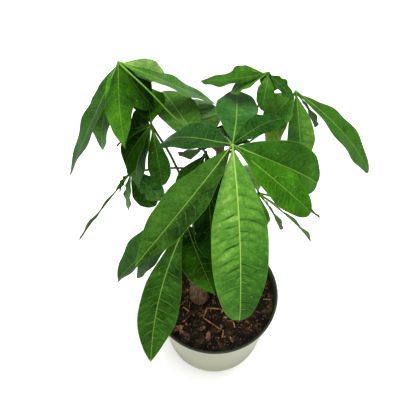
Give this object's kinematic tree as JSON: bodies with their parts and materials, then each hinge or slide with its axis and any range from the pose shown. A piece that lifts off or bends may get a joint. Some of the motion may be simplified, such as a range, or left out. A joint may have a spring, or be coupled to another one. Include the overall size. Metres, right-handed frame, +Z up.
{
  "type": "potted money tree",
  "caption": "Young money tree in a plastic nursery pot: slender trunks swollen at the soil, long petioles, and umbrella leaves of drooping pointed leaflets.",
  "frame": {"origin": "centre of the pot's foot, on the surface it stands on", "axes": "+Z up the plant, +X to the right and +Y to the back as seen from its front"},
  "size_m": [0.2451, 0.2028, 0.3516],
  "materials": {
    "pot_plastic": "satin off-white polypropylene outside, dark green-black inside and on the rim",
    "soil": "loose dark peat with bark chips and fibres",
    "bark": "smooth grey-brown young bark with lighter flecks",
    "leaf": "soft satin green leaflets with pale veins, on smooth green petioles"
  },
  "bodies": {
    "root": {"pot": "pot_plastic", "soil": "soil", "trunk_left": "bark", "trunk_right": "bark", "leaf_front": "leaf", "leaf_left_high": "leaf", "leaf_back": "leaf", "leaf_right_high": "leaf", "leaf_left_middle": "leaf", "leaf_front_low": "leaf", "leaf_right_low": "leaf", "leaf_left_low": "leaf", "leaf_crown": "leaf", "leaf_back_low": "leaf"}
  },
  "joints": []
}
